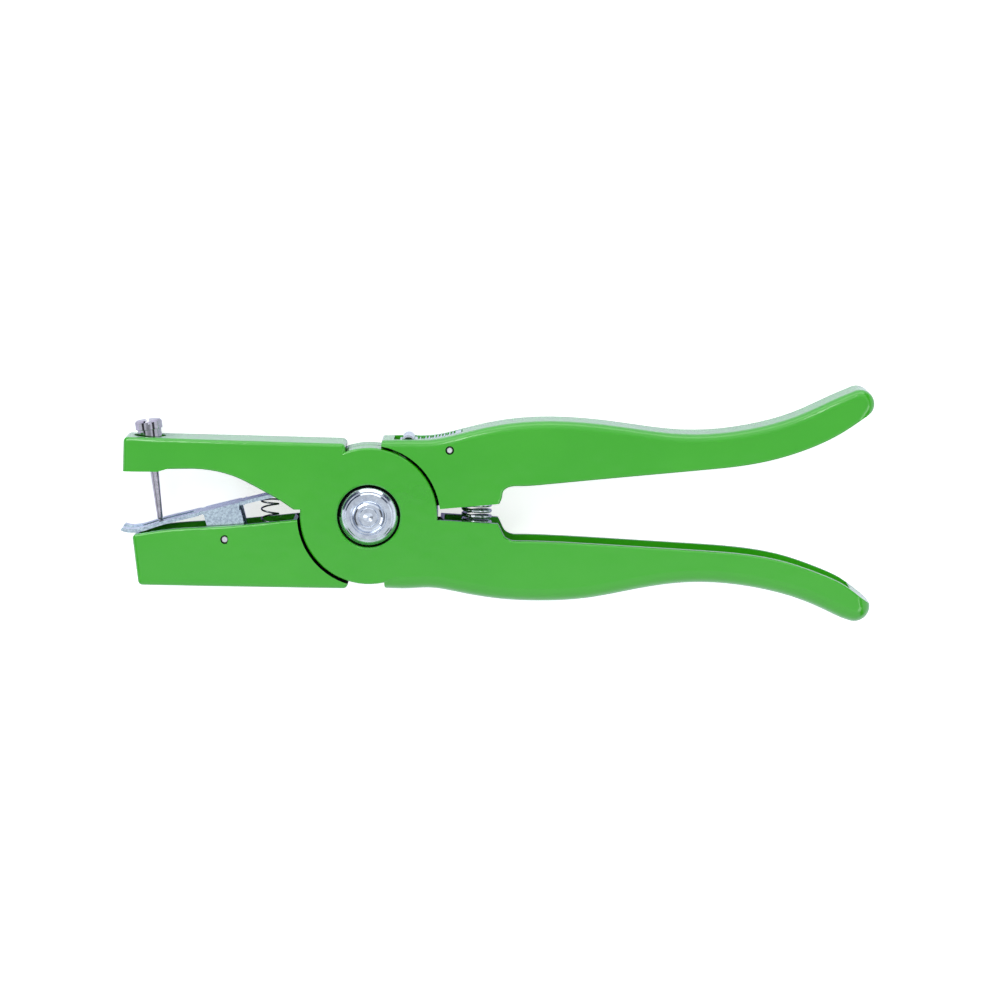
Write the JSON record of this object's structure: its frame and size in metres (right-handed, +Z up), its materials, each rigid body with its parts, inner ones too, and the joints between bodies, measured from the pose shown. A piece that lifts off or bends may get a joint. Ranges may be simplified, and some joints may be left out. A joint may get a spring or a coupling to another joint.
{
  "type": "ear tag applicator",
  "caption": "Hand pliers that fix a livestock ear tag: needle jaw over a sprung clip jaw, cast channel handles, stepped pivot rivet, return spring and thumb lock.",
  "frame": {"origin": "middle of the underside of the tool as it lies on its side", "axes": "+X along the tool from the jaws to the handles, +Y from the lower limb to the upper limb, +Z up, along the pivot"},
  "size_m": [0.2518, 0.0784, 0.0205],
  "materials": {
    "green_paint": "gloss green enamel on die casting",
    "zinc_plate": "bright zinc plate",
    "spring_wire": "drawn spring wire",
    "bare_steel": "turned steel"
  },
  "bodies": {
    "needle_limb": {"upper_jaw_lower_handle": "green_paint", "pivot_rivet": "zinc_plate", "pivot_washer_front": "zinc_plate", "pivot_washer_rear": "zinc_plate", "needle": "bare_steel", "needle_lock_screw": "bare_steel", "handle_spring": "spring_wire"},
    "clip_limb": {"lower_jaw_upper_handle": "green_paint", "clip_pivot_pin": "bare_steel", "lock_lever_pin": "bare_steel", "clip_spring": "spring_wire", "lock_spring": "spring_wire"},
    "clip": {"clip_plate": "zinc_plate"},
    "lock": {"lock_lever": "zinc_plate", "lock_thumb_roll": "zinc_plate"}
  },
  "joints": [
    {"name": "main_pivot", "type": "hinge", "parent": "needle_limb", "child": "clip_limb", "pos_m": [-0.04263, -0.0031, 0.00925], "axis": [0, 0, 1], "range_deg": [-8, 24], "deforming": ["handle_spring"]},
    {"name": "clip_tilt", "type": "hinge", "parent": "clip_limb", "child": "clip", "pos_m": [-0.09073, -0.0109, 0.00925], "axis": [0, 0, 1], "range_deg": [-11, 0], "stiffness_Nm_per_rad": 0.25, "springref_deg": 11.46, "deforming": ["clip_spring"]},
    {"name": "lock_lift", "type": "hinge", "parent": "clip_limb", "child": "lock", "pos_m": [-0.01553, 0.0191, 0.00925], "axis": [0, 0, 1], "range_deg": [-18, 0], "stiffness_Nm_per_rad": 0.06, "springref_deg": 17.19, "deforming": ["lock_spring"]}
  ]
}
